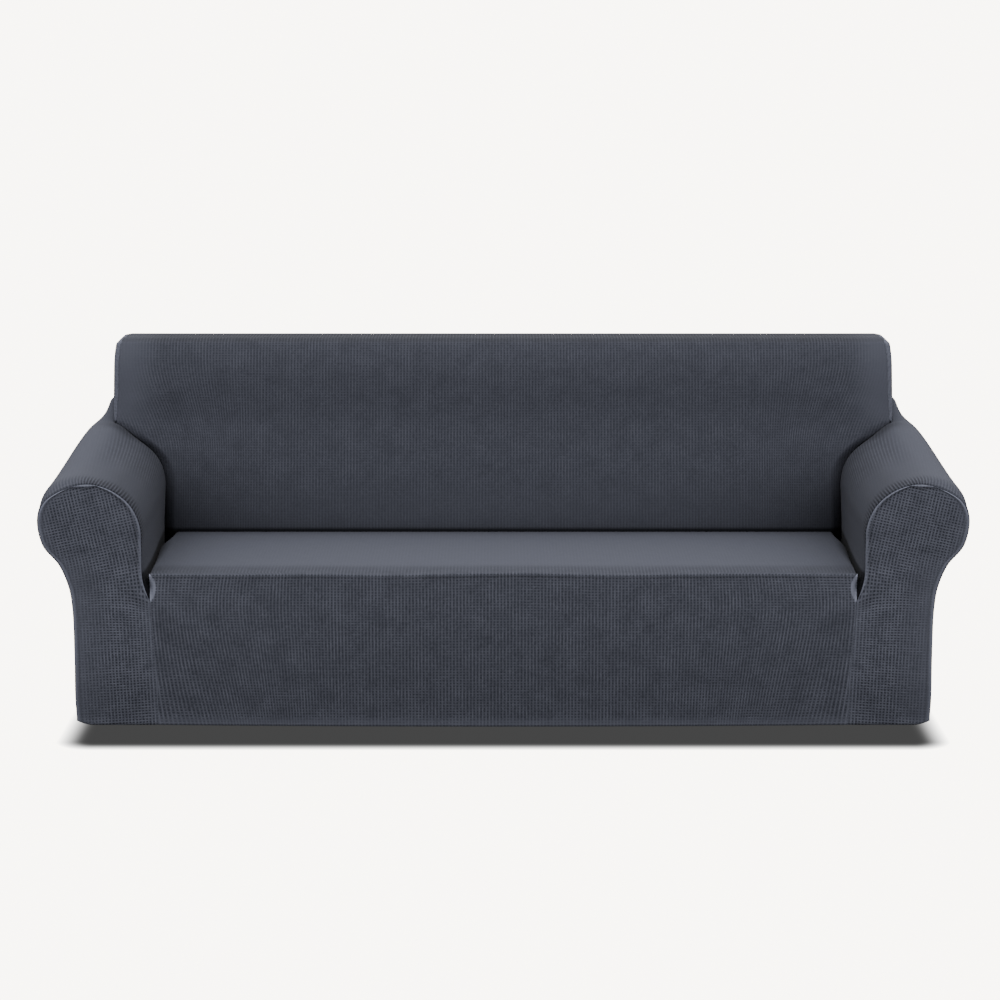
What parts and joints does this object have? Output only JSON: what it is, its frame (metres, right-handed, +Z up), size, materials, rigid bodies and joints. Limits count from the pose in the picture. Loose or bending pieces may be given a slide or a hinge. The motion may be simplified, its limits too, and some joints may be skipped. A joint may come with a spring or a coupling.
{
  "type": "stretch slipcover",
  "caption": "Fitted stretch cover for a sofa with rolled arms: hollow sewn cloth with back, seat and apron, arm and arm front panels, open below.",
  "frame": {"origin": "just under the cloth of the back's top, halfway across and halfway along it, where the sofa's back holds the cover up", "axes": "+X across the cover to the sitter's left hand, +Y from the apron to the back, +Z up"},
  "size_m": [2.1408, 0.907, 0.8208],
  "materials": {
    "jacquard": "small check stretch jacquard, matt"
  },
  "bodies": {
    "root": {"seat_apron": "jacquard", "inside_back": "jacquard", "outside_back": "jacquard", "arm_right": "jacquard", "arm_left": "jacquard", "arm_front_right": "jacquard", "arm_front_left": "jacquard"}
  },
  "joints": []
}
